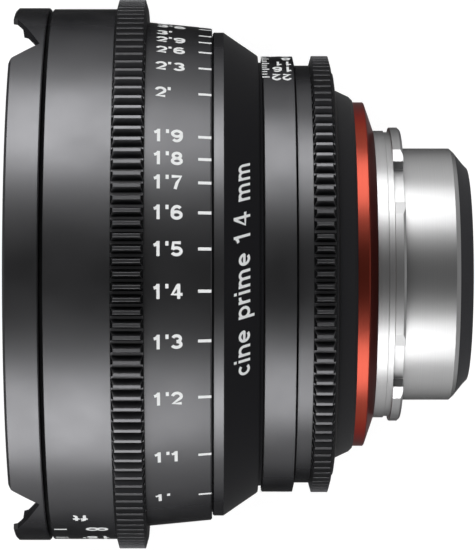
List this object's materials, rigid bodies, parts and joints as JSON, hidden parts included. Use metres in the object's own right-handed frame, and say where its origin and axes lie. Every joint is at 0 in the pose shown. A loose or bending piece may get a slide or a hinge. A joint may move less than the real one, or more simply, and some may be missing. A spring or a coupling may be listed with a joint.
{
  "type": "cinema prime lens",
  "caption": "Cinema prime lens with geared focus and aperture rings, a petal front ring, a working iris and a four-tab breech mount.",
  "frame": {"origin": "centre of the mount's seat, where the back of the tabs meets the tube", "axes": "+X along the optical axis towards the camera, +Z towards the top of the lens, +Y completes the right-handed set"},
  "size_m": [0.0959, 0.1176, 0.1176],
  "materials": {
    "black_anodised": "satin black hard anodised",
    "red_anodised": "satin red anodised",
    "stainless": "fine turned stainless steel",
    "inner_black": "matte black anodised",
    "brass": "machined",
    "dark_steel": "blackened",
    "blade_black": "matte black coated spring steel",
    "optical_glass": "polished and coated"
  },
  "bodies": {
    "barrel": {"front_ring": "black_anodised", "main_barrel": "inner_black", "dust_ring": "inner_black", "helicoid_retaining_ring": "brass", "guide_keys": "brass", "guide_key_screws": "dark_steel", "index_barrel": "black_anodised", "index_barrel_screws": "dark_steel", "rear_barrel": "black_anodised", "rear_barrel_screws": "dark_steel", "red_ring": "red_anodised", "mount_shim": "stainless", "pl_mount": "stainless", "mount_screws": "dark_steel", "rear_baffle": "inner_black"},
    "focus": {"focus_ring": "black_anodised", "focus_gear": "black_anodised", "focus_drive_key": "brass", "focus_drive_key_screw": "dark_steel", "helicoid_ring": "brass"},
    "carriage": {"carriage": "inner_black", "carriage_retaining_ring": "inner_black", "front_cell": "inner_black", "element_1": "optical_glass", "front_retaining_ring": "inner_black", "element_2": "optical_glass", "second_retaining_ring": "inner_black", "element_3": "optical_glass", "third_retaining_ring": "inner_black", "iris_housing": "inner_black", "element_4": "optical_glass", "element_5": "optical_glass", "fourth_retaining_ring": "inner_black", "iris_spacer": "inner_black", "iris_cover": "inner_black", "rear_cell": "inner_black", "element_6": "optical_glass", "element_7": "optical_glass", "fifth_retaining_ring": "inner_black", "element_8": "optical_glass", "element_9": "optical_glass", "sixth_retaining_ring": "inner_black", "element_10": "optical_glass", "rear_spacer": "inner_black", "element_11": "optical_glass", "rear_retaining_ring": "inner_black"},
    "iris": {"iris_ring": "black_anodised", "iris_gear": "black_anodised", "iris_drive_pin": "dark_steel"},
    "iris_cam": {"iris_cam_ring": "brass"},
    "iris_blade_1": {"blade_1": "blade_black"},
    "iris_blade_2": {"blade_2": "blade_black"},
    "iris_blade_3": {"blade_3": "blade_black"},
    "iris_blade_4": {"blade_4": "blade_black"},
    "iris_blade_5": {"blade_5": "blade_black"},
    "iris_blade_6": {"blade_6": "blade_black"},
    "iris_blade_7": {"blade_7": "blade_black"},
    "iris_blade_8": {"blade_8": "blade_black"},
    "iris_blade_9": {"blade_9": "blade_black"}
  },
  "joints": [
    {"name": "focus_turn", "type": "hinge", "parent": "barrel", "child": "focus", "pos_m": [-0.057, 0, 0], "axis": [-1, 0, 0], "range_deg": [-27.1, 171.6]},
    {"name": "carriage_slide", "type": "slide", "parent": "barrel", "child": "carriage", "axis": [-1, 0, 0], "range_m": [-0.00022, 0.00138]},
    {"name": "iris_turn", "type": "hinge", "parent": "barrel", "child": "iris", "pos_m": [-0.022, 0, 0], "axis": [-1, 0, 0], "range_deg": [-15.8, 24.2]},
    {"name": "iris_cam_turn", "type": "hinge", "parent": "carriage", "child": "iris_cam", "pos_m": [-0.02622, 0, 0], "axis": [-1, 0, 0], "range_deg": [-15.85, 24.25]},
    {"name": "blade_1_turn", "type": "hinge", "parent": "carriage", "child": "iris_blade_1", "pos_m": [-0.02913, 0, 0.016], "axis": [-1, 0, 0], "range_deg": [-7.95, 12.15]},
    {"name": "blade_2_turn", "type": "hinge", "parent": "carriage", "child": "iris_blade_2", "pos_m": [-0.02892, 0.01028, 0.01226], "axis": [-1, 0, 0], "range_deg": [-7.95, 12.15]},
    {"name": "blade_3_turn", "type": "hinge", "parent": "carriage", "child": "iris_blade_3", "pos_m": [-0.02873, 0.01576, 0.00278], "axis": [-1, 0, 0], "range_deg": [-7.95, 12.15]},
    {"name": "blade_4_turn", "type": "hinge", "parent": "carriage", "child": "iris_blade_4", "pos_m": [-0.02852, 0.01386, -0.008], "axis": [-1, 0, 0], "range_deg": [-7.95, 12.15]},
    {"name": "blade_5_turn", "type": "hinge", "parent": "carriage", "child": "iris_blade_5", "pos_m": [-0.02832, 0.00547, -0.01504], "axis": [-1, 0, 0], "range_deg": [-7.95, 12.15]},
    {"name": "blade_6_turn", "type": "hinge", "parent": "carriage", "child": "iris_blade_6", "pos_m": [-0.02813, -0.00547, -0.01504], "axis": [-1, 0, 0], "range_deg": [-7.95, 12.15]},
    {"name": "blade_7_turn", "type": "hinge", "parent": "carriage", "child": "iris_blade_7", "pos_m": [-0.02792, -0.01386, -0.008], "axis": [-1, 0, 0], "range_deg": [-7.95, 12.15]},
    {"name": "blade_8_turn", "type": "hinge", "parent": "carriage", "child": "iris_blade_8", "pos_m": [-0.02772, -0.01576, 0.00278], "axis": [-1, 0, 0], "range_deg": [-7.95, 12.15]},
    {"name": "blade_9_turn", "type": "hinge", "parent": "carriage", "child": "iris_blade_9", "pos_m": [-0.02753, -0.01028, 0.01226], "axis": [-1, 0, 0], "range_deg": [-7.95, 12.15]}
  ],
  "couplings": [
    {"joint": "carriage_slide", "follows": "focus_turn", "m_per_rad": 0.00046136},
    {"joint": "iris_cam_turn", "follows": "iris_turn", "ratio": 1},
    {"joint": "blade_1_turn", "follows": "iris_turn", "ratio": 0.5},
    {"joint": "blade_2_turn", "follows": "iris_turn", "ratio": 0.5},
    {"joint": "blade_3_turn", "follows": "iris_turn", "ratio": 0.5},
    {"joint": "blade_4_turn", "follows": "iris_turn", "ratio": 0.5},
    {"joint": "blade_5_turn", "follows": "iris_turn", "ratio": 0.5},
    {"joint": "blade_6_turn", "follows": "iris_turn", "ratio": 0.5},
    {"joint": "blade_7_turn", "follows": "iris_turn", "ratio": 0.5},
    {"joint": "blade_8_turn", "follows": "iris_turn", "ratio": 0.5},
    {"joint": "blade_9_turn", "follows": "iris_turn", "ratio": 0.5}
  ]
}
